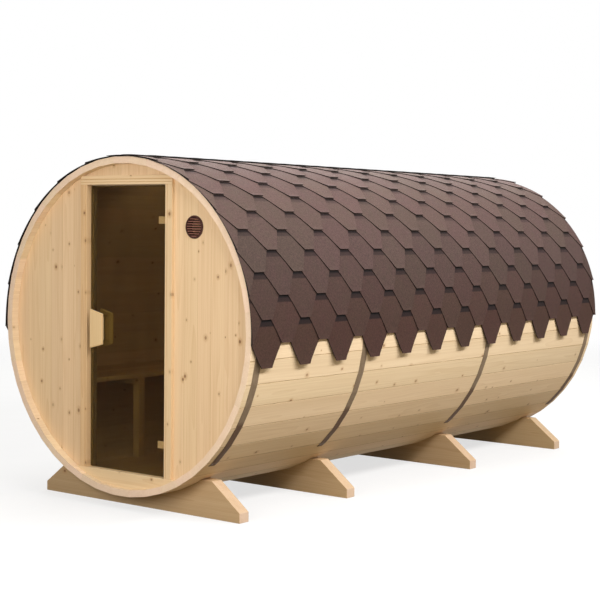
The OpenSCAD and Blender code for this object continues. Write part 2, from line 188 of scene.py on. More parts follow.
# Vent and glass
LOUVRE_SHADOW = (0.008, 0.003, 0.002)
GLASS_CLEAN = (0.365, 0.327, 0.224)
GLASS_SMEARED = (0.328, 0.294, 0.2)
GLASS_SHADE = (0.34, 0.33, 0.27)
GLASS_IOR = 1.1

# Camera fitted to the photograph: its place, its angles and the picture's focal length in pixels
PICTURE = 600
FOCAL_PX = 1454.755
PRINCIPAL = (299.088, 323.765)
CAMERA_AT = Vector((5.9707, -7.9645, 1.6637))
CAMERA_YAW = -0.6637
CAMERA_PITCH = -0.0676
CAMERA_ROLL = 0.0122
SENSOR = 36.0

# Stage: the floor, the lamps' places from the barrel's middle, their sizes, powers and colours, and the sky
FLOOR_R = 14.0
FLOOR_SIDES = 96
FLOOR_GLOW = 0.7
FLOOR_FADE = (0.3, 0.95)
FLOOR_SEEN = (0.93, 0.93, 0.925)
FLOOR_BOUNCE = (0.205, 0.152, 0.070)
KEY_RISE = math.radians(33)
KEY_FAR = 6.0
KEY_ALONG = -0.8
KEY_LENGTH = 9.5
KEY_WIDTH = 1.0
KEY_POWER = 515.0
KEY_COLOUR = (0.99, 0.985, 0.985)
FILL_TURN = math.radians(14)
FILL_RISE = math.radians(7)
FILL_FAR = 6.2
FILL_SIZE = 2.0
FILL_POWER = 97.0
FILL_COLOUR = (1.0, 0.99, 0.975)
TOP_POWER = 265.0
TOP_SIZE = 6.0
TOP_HEIGHT = 7.0
BACK_TURN = math.radians(215)
BACK_RISE = math.radians(28)
BACK_FAR = 9.0
BACK_SIZE = 5.5
BACK_POWER = 300.0
ROOM_POWER = 1.9
ROOM_SIZE = 0.3
ROOM_BACK = 0.35
ROOM_DROP = 0.28
ROOM_COLOUR = (1.0, 0.82, 0.58)
WHITE = (1.0, 1.0, 1.0)
SKY = 0.34
SKY_COLOUR = (1.0, 0.955, 0.88)


# Node helpers

def new_material(name):
    """A material with an empty node tree, its Principled shader and its output."""
    material = bpy.data.materials.new(name)
    material.use_nodes = True
    tree = material.node_tree
    tree.nodes.clear()
    output = tree.nodes.new("ShaderNodeOutputMaterial")
    shader = tree.nodes.new("ShaderNodeBsdfPrincipled")
    tree.links.new(shader.outputs["BSDF"], output.inputs["Surface"])
    return material, tree, shader


def give(tree, socket, value):
    """Links a socket to another, or sets it to a number, vector or colour."""
    if isinstance(value, bpy.types.NodeSocket):
        tree.links.new(value, socket)
    elif value is not None:
        socket.default_value = value


def node(tree, kind, inputs=None, **settings):
    """A new node with its settings, and its inputs by name or number."""
    made = tree.nodes.new(kind)
    for key, value in settings.items():
        setattr(made, key, value)
    for key, value in (inputs or {}).items():
        give(tree, made.inputs[key], value)
    return made


def maths(tree, operation, a, b=None):
    return node(tree, "ShaderNodeMath", {0: a, 1: b}, operation=operation).outputs[0]


def span(tree, value, low, high, to_low=0.0, to_high=1.0, smooth=False):
    """Maps a value from one range to another, held at both ends."""
    made = node(tree, "ShaderNodeMapRange", {
        "Value": value, "From Min": low, "From Max": high, "To Min": to_low, "To Max": to_high})
    made.interpolation_type = "SMOOTHSTEP" if smooth else "LINEAR"
    return made.outputs["Result"]


def blend(tree, share, a, b, how="MIX"):
    """Two colours mixed or multiplied by a share of the second."""
    made = node(tree, "ShaderNodeMix", data_type="RGBA", blend_type=how)
    give(tree, made.inputs[0], share)
    give(tree, made.inputs[6], a)
    give(tree, made.inputs[7], b)
    return made.outputs[2]


def noise(tree, vector, scale, detail=2.0, rough=0.5):
    return node(tree, "ShaderNodeTexNoise", {
        "Vector": vector, "Scale": scale, "Detail": detail, "Roughness": rough}).outputs[0]


def stretched(tree, vector, factors):
    return node(tree, "ShaderNodeVectorMath", {0: vector, 1: factors}, operation="MULTIPLY").outputs[0]


def attribute(tree, name):
    return node(tree, "ShaderNodeAttribute", attribute_name=name)


def grey(tree, value):
    return node(tree, "ShaderNodeCombineColor", {0: value, 1: value, 2: value}).outputs[0]


def tinted(tree, colour, tint):
    """A colour multiplied by a tint."""
    return blend(tree, 1.0, colour, (*tint, 1), "MULTIPLY")


def shaded(tree, colour, value):
    """A colour multiplied by a grey value."""
    return blend(tree, 1.0, colour, grey(tree, value), "MULTIPLY")


def bump(tree, shader, height, strength, distance):
    made = node(tree, "ShaderNodeBump", {"Strength": strength, "Distance": distance, "Height": height})
    tree.links.new(made.outputs["Normal"], shader.inputs["Normal"])


# Materials

def knots(tree, grain, side_face, share):
    """Knots in a share of the cells on a board's face: how much of a point is core, and how much halo."""
    parts = node(tree, "ShaderNodeSeparateXYZ", {0: grain}).outputs
    along = maths(tree, "MULTIPLY", parts[2], KNOT_SQUEEZE)
    flat = node(tree, "ShaderNodeCombineXYZ", {0: parts[0], 1: along}).outputs[0]
    where = {"Vector": flat, "Scale": 1 / KNOT_CELL}
    cells = node(tree, "ShaderNodeTexVoronoi", where, voronoi_dimensions="2D")
    luck = node(tree, "ShaderNodeSeparateColor", {0: cells.outputs["Color"]}).outputs
    present = maths(tree, "MULTIPLY", maths(tree, "LESS_THAN", luck[0], share), side_face)
    present = maths(tree, "MULTIPLY", present, span(tree, luck[2], 0.0, 1.0, 0.35, 1.0))
    far = maths(tree, "MULTIPLY", cells.outputs["Distance"], KNOT_CELL)
    ragged = maths(tree, "SUBTRACT", noise(tree, grain, 160.0, 2.0), 0.5)
    far = maths(tree, "ADD", far, maths(tree, "MULTIPLY", ragged, KNOT_RAGGED))
    ratio = maths(tree, "DIVIDE", far, span(tree, luck[1], 0.0, 1.0, KNOT_SMALL, KNOT_LARGE))
    core = maths(tree, "MULTIPLY", span(tree, ratio, 1.2, 0.6, smooth=True), present)
    halo = maths(tree, "MULTIPLY", span(tree, ratio, 3.2, 0.9, smooth=True), present)
    return core, halo


def growth(tree, grain, halo):
    """Growth rings round a pith beside the board, which wander and bend round the knots, and fine fibre."""
    parts = node(tree, "ShaderNodeSeparateXYZ", {0: grain}).outputs
    section = node(tree, "ShaderNodeCombineXYZ", {0: parts[0], 1: parts[1]}).outputs[0]
    pith = node(tree, "ShaderNodeVectorMath", {0: section}, operation="LENGTH").outputs["Value"]
    wander = noise(tree, stretched(tree, grain, (9.0, 9.0, 1.1)), 1.0, 2.0)
    bent = maths(tree, "ADD", pith, maths(tree, "MULTIPLY", wander, 0.03))
    bent = maths(tree, "ADD", bent, maths(tree, "MULTIPLY", halo, 0.006))
    rings = maths(tree, "FRACT", maths(tree, "MULTIPLY", bent, RINGS_A_METRE))
    rings = maths(tree, "POWER", rings, 2.2)
    fibre = noise(tree, stretched(tree, grain, (260.0, 260.0, 3.0)), 1.0, 3.0, 0.6)
    return rings, fibre


def wood_colour(tree, grain, rings, fibre, pale, dark):
    """Pale wood that darkens along the rings, in long streaks, in slow drifts and in the fibre."""
    streak = noise(tree, stretched(tree, grain, (95.0, 95.0, 1.3)), 1.0, 2.0)
    drift = noise(tree, stretched(tree, grain, (22.0, 22.0, 0.55)), 1.0, 2.0)
    share = maths(tree, "MULTIPLY", rings, 0.36)
    share = maths(tree, "ADD", share, span(tree, drift, 0.3, 0.7, 0.0, 0.26))
    share = maths(tree, "ADD", share, span(tree, streak, 0.35, 0.75, -0.06, 0.18))
    share = maths(tree, "ADD", share, span(tree, fibre, 0.3, 0.7, -0.1, 0.14))
    return blend(tree, share, (*pale, 1), (*dark, 1))


def board_tone(tree, colour, end, tone_share):
    """Each board's own depth of tone, less at its end grain, and its cast from pinkish to yellow."""
    board = node(tree, "ShaderNodeSeparateXYZ", {0: attribute(tree, "board").outputs["Vector"]}).outputs
    depth = maths(tree, "MULTIPLY", board[0], span(tree, end, 0.0, 1.0, tone_share, 0.3 * tone_share))
    colour = shaded(tree, colour, maths(tree, "ADD", depth, 1.0))
    reach = min(6 * tone_share, 0.5)
    hue = span(tree, board[1], 0.0, 1.0, 0.5 - reach, 0.5 + reach)
    cast = blend(tree, hue, (*PINKISH, 1), (*YELLOWISH, 1))
    return blend(tree, 1.0, colour, cast, "MULTIPLY")


def pine(name, pale, dark, end_tint, tone_share, knot_share, seam_shade=1.0, rough=0.6):
    """Solid pine: growth rings, streaks, knots, end grain with its own tint (on the cradles also painted
    light), and seams between boards darkened by grime and painted shade.
    """
    material, tree, shader = new_material(name)
    grain = attribute(tree, "grain").outputs["Vector"]
    end = attribute(tree, "end").outputs["Fac"]
    seam = attribute(tree, "seam").outputs["Fac"]
    core, halo = knots(tree, grain, maths(tree, "SUBTRACT", 1.0, end), knot_share)
    rings, fibre = growth(tree, grain, halo)
    colour = wood_colour(tree, grain, rings, fibre, pale, dark)
    colour = board_tone(tree, colour, end, tone_share)
    colour = blend(tree, end, colour, tinted(tree, colour, end_tint))
    colour = blend(tree, maths(tree, "MULTIPLY", halo, 0.5), colour, (*KNOT_HALO, 1))
    colour = blend(tree, maths(tree, "MULTIPLY", core, 0.9), colour, (*KNOT_CORE, 1))
    # Seams and eased edges darker: grime in the joints and painted shade in the grooves.
    dull = [seam_shade * share for share in SEAM_TINT]
    colour = blend(tree, seam, colour, tinted(tree, colour, dull))
    give(tree, shader.inputs["Base Color"], colour)
    give(tree, shader.inputs["Roughness"], span(tree, fibre, 0.25, 0.75, rough - 0.08, rough + 0.1))
    shader.inputs["Specular IOR Level"].default_value = 0.3
    height = maths(tree, "ADD", maths(tree, "MULTIPLY", rings, -0.4), maths(tree, "MULTIPLY", fibre, 0.8))
    height = maths(tree, "SUBTRACT", height, maths(tree, "MULTIPLY", core, 0.7))
    bump(tree, shader, height, 0.25, 0.0008)
    return material


def granule_colour(tree, spot, granule, course):
    """Browns that differ within and between tabs, with painted light that makes them paler towards the ridge
    and darker at the eave, and warm near the eave.
    """
    tone = attribute(tree, "tone").outputs["Fac"]
    blotch = noise(tree, spot, 15.0, 3.0, 0.6)
    mottle = noise(tree, spot, 95.0, 2.0, 0.6)
    mixed = maths(tree, "ADD", tone, span(tree, blotch, 0.3, 0.7, -0.45, 0.45))
    colour = blend(tree, mixed, (*GRANULE_BROWN, 1), (*GRANULE_RED, 1))
    colour = shaded(tree, colour, span(tree, granule, 0.25, 0.75, 0.62, 1.42))
    luck = maths(tree, "FRACT", maths(tree, "MULTIPLY", tone, 7.3))
    depth = span(tree, luck, 0.0, 1.0, 0.94, 1.06)
    # Painted light: the courses are darker at the eave and paler towards the ridge, on top of each tab's own
    # tone and mottle.
    tone_and_painted_light = maths(tree, "MULTIPLY", depth, span(tree, course, 1.0, 10.5, 0.68, 1.5, smooth=True))
    tone_and_painted_light = maths(tree, "MULTIPLY", tone_and_painted_light, span(tree, mottle, 0.3, 0.7, 0.78, 1.22))
    colour = shaded(tree, colour, tone_and_painted_light)
    warm = span(tree, course, 0.0, 3.6, 1.0, 0.0)
    return blend(tree, warm, colour, tinted(tree, colour, EAVE_TINT))


def under_tab(tree, colour, rise, course):
    """A printed shade band, darker on the lowest courses as painted shadow, and a painted contact shadow
    under the end of each upper tab.
    """
    shade = span(tree, rise, 1.68, 1.74, smooth=True)
    # Painted shadow: the printed band is made darker on the lowest courses, where the tabs cast longer
    # shadows.
    shade = maths(tree, "MULTIPLY", shade, span(tree, course, 0.0, 5.0, 1.0, 0.4))
    colour = blend(tree, shade, colour, tinted(tree, colour, PRINT_AND_SHADOW_TINT))
    # Painted contact shadow: a thin dark line just under the end of each upper tab.
    painted_contact_shadow = span(tree, rise, 1.86, 1.93, smooth=True)
    return blend(tree, painted_contact_shadow, colour, tinted(tree, colour, CONTACT_SHADOW_TINT))


def shingle_material():
    """Mineral granules with a soft sheen, shaded where a course lies under the next one."""
    material, tree, shader = new_material("granule_shingle")
    place_on_roof = attribute(tree, "shingle").outputs["Vector"]
    parts = node(tree, "ShaderNodeSeparateXYZ", {0: place_on_roof}).outputs
    spot = node(tree, "ShaderNodeTexCoord").outputs["Object"]
    granule = noise(tree, spot, GRANULE_SCALE, 2.0, 0.7)
    colour = granule_colour(tree, spot, granule, parts[2])
    ragged = maths(tree, "MULTIPLY", maths(tree, "SUBTRACT", granule, 0.5), 0.10)
    rise = maths(tree, "ADD", parts[1], ragged)
    give(tree, shader.inputs["Base Color"], under_tab(tree, colour, rise, parts[2]))
    give(tree, shader.inputs["Roughness"], span(tree, granule, 0.2, 0.8, 0.78, 0.98))
    shader.inputs["Specular IOR Level"].default_value = 0.2
    shader.inputs["Sheen Weight"].default_value = 0.42
    shader.inputs["Sheen Roughness"].default_value = 0.27
    shader.inputs["Sheen Tint"].default_value = (*SHEEN_TINT, 1)
    bump(tree, shader, granule, 0.5, 0.0012)
    return material


def bitumen():
    """The cut edges and undersides of the shingles: dark bitumen with a few granules pressed in."""
    material, tree, shader = new_material("bitumen_edge")
    spot = node(tree, "ShaderNodeTexCoord").outputs["Object"]
    granule = noise(tree, spot, GRANULE_SCALE, 2.0, 0.7)
    pressed_in = span(tree, granule, 0.45, 0.75)
    give(tree, shader.inputs["Base Color"], blend(tree, pressed_in, (*BITUMEN_DARK, 1), (*BITUMEN_PALE, 1)))
    give(tree, shader.inputs["Roughness"], span(tree, granule, 0.2, 0.8, 0.75, 0.95))
    shader.inputs["Specular IOR Level"].default_value = 0.2
    bump(tree, shader, granule, 0.3, 0.0008)
    return material


def metal(name, colour, wear_and_highlight, metallic, rough, grain_scale, gloss=0.5, painted_shade=None):
    """Metal with long fine scratches and small blotches, and a tint of painted shade for what lies low, where
    a band turns under the barrel.
    """
    material, tree, shader = new_material(name)
    spot = node(tree, "ShaderNodeTexCoord").outputs["Object"]
    scratch = noise(tree, stretched(tree, spot, grain_scale), 1.0, 3.0, 0.6)
    blotch = noise(tree, spot, 38.0, 3.0, 0.6)
    share = maths(tree, "MULTIPLY", span(tree, scratch, 0.3, 0.7), span(tree, blotch, 0.35, 0.7))
    shown = blend(tree, share, (*colour, 1), (*wear_and_highlight, 1))
    if painted_shade:
        height = node(tree, "ShaderNodeSeparateXYZ", {0: spot}).outputs[2]
        shade_share = span(tree, height, PAINTED_SHADE_LOW, PAINTED_SHADE_HIGH, 1.0, 0.0, smooth=True)
        shown = blend(tree, shade_share, shown, tinted(tree, shown, painted_shade))
    give(tree, shader.inputs["Base Color"], shown)
    give(tree, shader.inputs["Roughness"], span(tree, scratch, 0.3, 0.7, rough - 0.08, rough + 0.12))
    shader.inputs["Metallic"].default_value = metallic
    shader.inputs["Specular IOR Level"].default_value = gloss
    bump(tree, shader, scratch, 0.12, 0.0004)
    return material


def louvre_plastic(name, colour, pale, rough):
    """Moulded plastic with a fine grain, with a painted highlight on the louvres' front edges and painted
    shade behind them.
    """
    material, tree, shader = new_material(name)
    spot = node(tree, "ShaderNodeTexCoord").outputs["Object"]
    fine = noise(tree, spot, 900.0, 2.0, 0.6)
    chalk = noise(tree, spot, 60.0, 3.0, 0.6)
    centre = (vent_low + vent_high) / 2
    off = node(tree, "ShaderNodeVectorMath", {0: spot, 1: tuple(centre)}, operation="SUBTRACT").outputs[0]
    flat = stretched(tree, off, (1.0, 0.0, 1.0))
    radius = node(tree, "ShaderNodeVectorMath", {0: flat}, operation="LENGTH").outputs["Value"]
    opening = (vent_high.x - vent_low.x) / 2 - VENT_RIM
    within = maths(tree, "LESS_THAN", radius, opening)
    behind = node(tree, "ShaderNodeSeparateXYZ", {0: spot}).outputs[1]
    # Painted highlight on the louvres' front edges and painted shade behind them, inside the opening.
    front = span(tree, behind, SLAT_FRONT + 0.1 * SLAT_DEPTH, SLAT_FRONT + 0.4 * SLAT_DEPTH, 1.0, 0.0)
    wear_and_highlight = maths(tree, "MULTIPLY", front, within)
    deep = maths(tree, "MULTIPLY", maths(tree, "SUBTRACT", 1.0, front), within)
    shown = blend(tree, maths(tree, "MULTIPLY", deep, 0.75), (*colour, 1), (*LOUVRE_SHADOW, 1))
    give(tree, shader.inputs["Base Color"], blend(tree, wear_and_highlight, shown, (*pale, 1)))
    give(tree, shader.inputs["Roughness"], span(tree, chalk, 0.3, 0.7, rough - 0.06, rough + 0.1))
    shader.inputs["Specular IOR Level"].default_value = 0.2
    bump(tree, shader, fine, 0.15, 0.0003)
    return material


def bronze_glass():
    """Bronze tinted glass with faint smears, which lets the lamps' light through in its own tint."""
    material, tree, shader = new_material("bronze_glass")
    spot = node(tree, "ShaderNodeTexCoord").outputs["Object"]
    smear = noise(tree, stretched(tree, spot, (7.0, 7.0, 2.0)), 1.0, 4.0, 0.6)
    smeared = span(tree, smear, 0.35, 0.75)
    give(tree, shader.inputs["Base Color"], blend(tree, smeared, (*GLASS_CLEAN, 1), (*GLASS_SMEARED, 1)))
    give(tree, shader.inputs["Roughness"], span(tree, smear, 0.45, 0.75, 0.0, 0.02))
    shader.inputs["Transmission Weight"].default_value = 1.0
    shader.inputs["IOR"].default_value = GLASS_IOR
    clear = node(tree, "ShaderNodeBsdfTransparent", {"Color": (*GLASS_SHADE, 1)})
    shadow = node(tree, "ShaderNodeLightPath").outputs["Is Shadow Ray"]
    both = node(tree, "ShaderNodeMixShader", {0: shadow})
    tree.links.new(shader.outputs["BSDF"], both.inputs[1])
    tree.links.new(clear.outputs["BSDF"], both.inputs[2])
    output = next(n for n in tree.nodes if n.type == "OUTPUT_MATERIAL")
    tree.links.new(both.outputs[0], output.inputs["Surface"])
    return material


WALL_PINE = pine(
    "wall_pine", pale=(0.82, 0.607, 0.385), dark=(0.67, 0.447, 0.25), end_tint=(1.0, 0.98, 0.95),
    tone_share=0.03, knot_share=0.95, seam_shade=0.84)
STAVE_PINE = pine(
    "stave_pine", pale=(0.84, 0.66, 0.455), dark=(0.69, 0.50, 0.305), end_tint=(1.06, 1.05, 1.18),
    tone_share=0.075, knot_share=0.45, seam_shade=0.72)
FRAME_PINE = pine(
    "frame_pine", pale=(0.82, 0.625, 0.39), dark=(0.67, 0.445, 0.24), end_tint=(0.95, 0.9, 0.85),
    tone_share=0.03, knot_share=0.25, seam_shade=0.85)
HEART_PINE = pine(
    "heart_pine", pale=(0.77, 0.53, 0.30), dark=(0.54, 0.30, 0.135), end_tint=(0.95, 0.9, 0.85),
    tone_share=0.03, knot_share=0.25, seam_shade=0.85)
ROOM_PINE = pine(
    "room_pine", pale=(0.74, 0.54, 0.32), dark=(0.58, 0.37, 0.18), end_tint=(0.95, 0.9, 0.85),
    tone_share=0.08, knot_share=0.4, seam_shade=0.8)
# The cradles' pine is darker brown, and its strong end tint is painted light that makes the slopes and end
# faces much paler than the front and back faces.
CRADLE_PINE = pine(
    "cradle_pine", pale=(0.575, 0.415, 0.24), dark=(0.445, 0.285, 0.137), end_tint=(1.27, 1.34, 1.75),
    tone_share=0.05, knot_share=0.35, rough=0.68)
HANDLE_PINE = pine(
    "handle_pine", pale=(0.785, 0.58, 0.33), dark=(0.68, 0.465, 0.235), end_tint=(1.2, 1.25, 1.35),
    tone_share=0.04, knot_share=0.0, rough=0.5)
# Darker pine for the frame behind the glass: painted shade.
SHADED_STOP_PINE = pine(
    "shaded_stop_pine", pale=(0.46, 0.34, 0.225), dark=(0.33, 0.22, 0.125), end_tint=(0.9, 0.9, 0.9),
    tone_share=0.03, knot_share=0.0)
SHINGLE = shingle_material()
BITUMEN = bitumen()
# The bands are painted darker low down as shade, where they turn away from the lamps.
BAND_STEEL = metal(
    "band_steel", colour=(0.186, 0.130, 0.082), wear_and_highlight=(0.259, 0.191, 0.124), metallic=0.0, rough=0.6,
    grain_scale=(30.0, 900.0, 30.0), gloss=0.2, painted_shade=(0.47, 0.34, 0.25))
BRASS = metal(
    "hinge_brass", colour=(0.32, 0.195, 0.07), wear_and_highlight=(0.44, 0.30, 0.13), metallic=0.75, rough=0.42,
    grain_scale=(700.0, 700.0, 40.0))
ZINC = metal(
    "screw_zinc", colour=(0.30, 0.28, 0.25), wear_and_highlight=(0.42, 0.40, 0.37), metallic=0.9, rough=0.4,
    grain_scale=(300.0, 300.0, 300.0))
VENT_BROWN = louvre_plastic(
    "vent_brown", colour=(0.052, 0.016, 0.011), pale=(0.34, 0.155, 0.115), rough=0.5)
GLASS = bronze_glass()


# Mesh helpers

def cad_mesh(*nodes):
    """The named nodes as one editable mesh, with coplanar triangles joined into whole faces."""
    bm = bmesh.new()
    for name in nodes:
        bm.from_mesh(frame["nodes"][name].data)
    bmesh.ops.remove_doubles(bm, verts=bm.verts[:], dist=MERGE)
    bmesh.ops.dissolve_limit(bm, angle_limit=FLAT, verts=bm.verts[:], edges=bm.edges[:])
    return bm


def ease_edges(bm, width, segments=2):
    """Rounds every sharp edge."""
    sharp = [e for e in bm.edges if len(e.link_faces) == 2 and e.calc_face_angle() > SHARP]
    bmesh.ops.bevel(
        bm, geom=sharp, offset=width, segments=segments, profile=ROUNDNESS, affect="EDGES",
        clamp_overlap=True)


def cut_away(bm, through, normal):
    """Removes what lies past a plane through a point, and closes the cut."""
    geom = bm.verts[:] + bm.edges[:] + bm.faces[:]
    made = bmesh.ops.bisect_plane(
        bm, geom=geom, dist=MERGE, plane_co=through, plane_no=normal, clear_outer=True)
    edges = [e for e in made["geom_cut"] if isinstance(e, bmesh.types.BMEdge)]
    if edges:
        bmesh.ops.edgeloop_fill(bm, edges=edges)


def sawn(bm, axis, joints, edge, gap=0.0):
    """A mesh sawn into boards across one axis at the given joints, each board with eased edges."""
    made = bmesh.new()
    low_side = min(v.co[axis] for v in bm.verts) - PAST_ENDS
    high_side = max(v.co[axis] for v in bm.verts) + PAST_ENDS
    normal = Vector((0, 0, 0))
    normal[axis] = 1.0
    limits = [low_side, *joints, high_side]
    for low, high in zip(limits, limits[1:]):
        board = bm.copy()
        cut_away(board, normal * (low + gap / 2), -normal)
        cut_away(board, normal * (high - gap / 2), normal)
        if board.faces:
            bmesh.ops.recalc_face_normals(board, faces=board.faces[:])
            ease_edges(board, edge)
            sheet = bpy.data.meshes.new("board")
            board.to_mesh(sheet)
            made.from_mesh(sheet)
            bpy.data.meshes.remove(sheet)
        board.free()
    return made


def islands(bm):
    """The separate solids of a mesh, each as a list of its points."""
    left = set(bm.verts)
    found = []
    for seed in bm.verts:
        if seed not in left:
            continue
        left.discard(seed)
        group = [seed]
        queue = [seed]
        while queue:
            for e in queue.pop().link_edges:
                for v in e.verts:
                    if v in left:
                        left.discard(v)
                        group.append(v)
                        queue.append(v)
        found.append(group)
    return found


def fixed_axes(along):
    """Board axes that run with the frame: across, depth and along."""
    order = {"x": ((0, 0, 1), (0, 1, 0), (1, 0, 0)), "y": ((1, 0, 0), (0, 0, 1), (0, 1, 0)),
             "z": ((1, 0, 0), (0, 1, 0), (0, 0, 1))}
    axes = [Vector(a) for a in order[along]]
    return lambda centre: axes


def stave_axes(centre):
    """Axes of a stave: round the barrel, out from its axis, and along it."""
    out = Vector((centre.x, 0, centre.z - AXIS_Z)).normalized()
    along = Vector((0, 1, 0))
    return [along.cross(out), out, along]


def mark_wood(bm, axes_of, seed):
    """Gives each board its own place in the wood and its tone and cast, and marks end grain and seams."""
    rng = random.Random(seed)
    grain = bm.verts.layers.float_vector.new("grain")
    board = bm.verts.layers.float_vector.new("board")
    end = bm.faces.layers.float.new("end")
    seam = bm.faces.layers.float.new("seam")
    for group in islands(bm):
        low = Vector(min(v.co[i] for v in group) for i in range(3))
        high = Vector(max(v.co[i] for v in group) for i in range(3))
        centre = (low + high) / 2
        axes = axes_of(centre)
        shift = Vector((rng.uniform(-PITH_ASIDE, PITH_ASIDE),
                        rng.choice((-1, 1)) * rng.uniform(PITH_NEAR, PITH_FAR),
                        rng.uniform(0, TRUNK_LENGTH)))
        look = Vector((rng.uniform(-1, 1), rng.random(), 0))
        for v in group:
            at = v.co - centre
            v[grain] = Vector(at.dot(axis) for axis in axes) + shift
            v[board] = look
        for f in {f for v in group for f in v.link_faces}:
            endwise = abs(f.normal.dot(axes[2]))
            f[end] = max(endwise - END_GRAIN, 0.0) / (1 - END_GRAIN)
            square_on = max(abs(f.normal.dot(axis)) for axis in axes)
            f[seam] = 1.0 if square_on < SQUARE_ON and not f[end] else 0.0


def place(bm, name, material, body, nodes=()):
    """Makes a mesh into a piece that rides on a body and stands for the given nodes."""
    bmesh.ops.recalc_face_normals(bm, faces=bm.faces[:])
    mesh = bpy.data.meshes.new(name)
    bm.to_mesh(mesh)
    bm.free()
    piece = bpy.data.objects.new(name, mesh)
    bpy.context.scene.collection.objects.link(piece)
    mesh.materials.append(material)
    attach(piece, body)
    if nodes:
        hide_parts(*nodes)
    return piece


def wooden(nodes, edge, material, axes_of, seed, body=BODY):
    """One piece of eased timber for each node."""
    for turn, name in enumerate(nodes):
        bm = cad_mesh(name)
        ease_edges(bm, edge)
        mark_wood(bm, axes_of, seed + turn)
        place(bm, f"{name}_timber", material, body, [name])


def shade_behind_glass(nodes, material):
    """Gives the part of a door frame that lies behind the closed glass a darker pine: painted shade where the
    glass dims it.
    """
    glass_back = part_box("door_glass")[1].y
    for name in nodes:
        mesh = bpy.data.objects[f"{name}_timber"].data
        mesh.materials.append(material)
        for face in mesh.polygons:
            face.material_index = 1 if face.center.y > glass_back else 0


# Woodwork

def joints_between(low, high, pitch, start=0.0):
    """Board joints at a pitch, counted from a start, that fall between two limits."""
    first = math.ceil((low - start) / pitch)
    last = math.floor((high - start) / pitch)
    return [start + i * pitch for i in range(first, last + 1)]


def wall_boards():
    """Upright boards of the end walls, laid out from the doorway and from the middle of the rear wall."""
    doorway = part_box("front_wall_right")[0].x
    starts = {"front_wall_left": -doorway, "front_wall_right": doorway, "front_wall_top": BOARD_PITCH / 2,
              "front_wall_bottom": BOARD_PITCH / 2, "back_wall": BOARD_PITCH / 2}
    for turn, (name, start) in enumerate(starts.items()):
        low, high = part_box(name)
        joints = [x for x in joints_between(low.x, high.x, BOARD_PITCH, start)
                  if low.x + BOARD_EDGE < x < high.x - BOARD_EDGE]
        bm = sawn(cad_mesh(name), 0, joints, BOARD_EDGE)
        mark_wood(bm, fixed_axes("z"), seed=300 + turn)
        place(bm, f"{name}_boards", WALL_PINE, BODY, [name])


def deck_boards():
    """Floor boards with open gaps, one of them along the middle."""
    low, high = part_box("floor_deck")
    joints = [x for x in joints_between(low.x, high.x, DECK_PITCH, DECK_PITCH / 2)
              if low.x + DECK_GAP < x < high.x - DECK_GAP]
    bm = sawn(cad_mesh("floor_deck"), 0, joints, FRAME_EDGE, DECK_GAP)
    mark_wood(bm, fixed_axes("y"), seed=400)
    place(bm, "floor_deck_boards", ROOM_PINE, BODY, ["floor_deck"])


wooden(STAVE_NODES, STAVE_EDGE, STAVE_PINE, stave_axes, seed=120)
wall_boards()
deck_boards()
wooden(["door_jamb_left"], FRAME_EDGE, HEART_PINE, fixed_axes("z"), seed=500)
wooden(["door_jamb_right"], FRAME_EDGE, FRAME_PINE, fixed_axes("z"), seed=501)
wooden(["door_head", "door_sill"], FRAME_EDGE, FRAME_PINE, fixed_axes("x"), seed=510)
shade_behind_glass(["door_jamb_left", "door_jamb_right", "door_head"], SHADED_STOP_PINE)
wooden(["floor_joists", "bench_bearers"], FRAME_EDGE, ROOM_PINE, fixed_axes("x"), seed=520)
wooden(["bench_seat"], BENCH_EDGE, ROOM_PINE, fixed_axes("y"), seed=530)
wooden(["bench_posts"], BENCH_EDGE, ROOM_PINE, fixed_axes("z"), seed=540)
wooden(CRADLE_NODES, CRADLE_EDGE, CRADLE_PINE, fixed_axes("x"), seed=550)
wooden(["handle_outer", "handle_inner"], GRIP_EDGE, HANDLE_PINE, fixed_axes("z"), seed=560,
       body=DOOR)


# Roof

def shingle_point(side, angle, y, height):
    """A point of the roof; past the widest part of the barrel a tab hangs straight down."""
    radius = SHINGLE_R + height
    if angle > HANG:
        radius /= math.cos(angle - HANG)
    return Vector((side * radius * math.sin(angle), y, AXIS_Z + radius * math.cos(angle)))


def course_height(side, rise):
    """Height of a course over the roof's base: it falls along its tab, steeply at first as the stiff end
    stands off the curve, then gently under the next course."""
    if rise < 1:
        return LAP[side] * (1 - TAB_FALL * rise ** TAB_CURL)
    return LAP[side] * (1 - TAB_FALL) * (COURSE_TOP - rise) / (COURSE_TOP - 1)


def tab_half_width(rise):
    """Half the width of a tab, which widens from its end to its root."""
    return TAB_LOW + (TAB_HIGH - TAB_LOW) * rise


def tab_levels(centre):
    """Levels of a tab's rows, with one where a slanted edge meets the end of the roof."""
    levels = {i / TAB_ROWS for i in range(TAB_ROWS + 1)}
    for limit in (roof_low.y, roof_high.y):
        meet = (abs(limit - centre) - TAB_LOW) / (TAB_HIGH - TAB_LOW)
        if 0 < meet < 1:
            levels.add(meet)
    return sorted(levels)


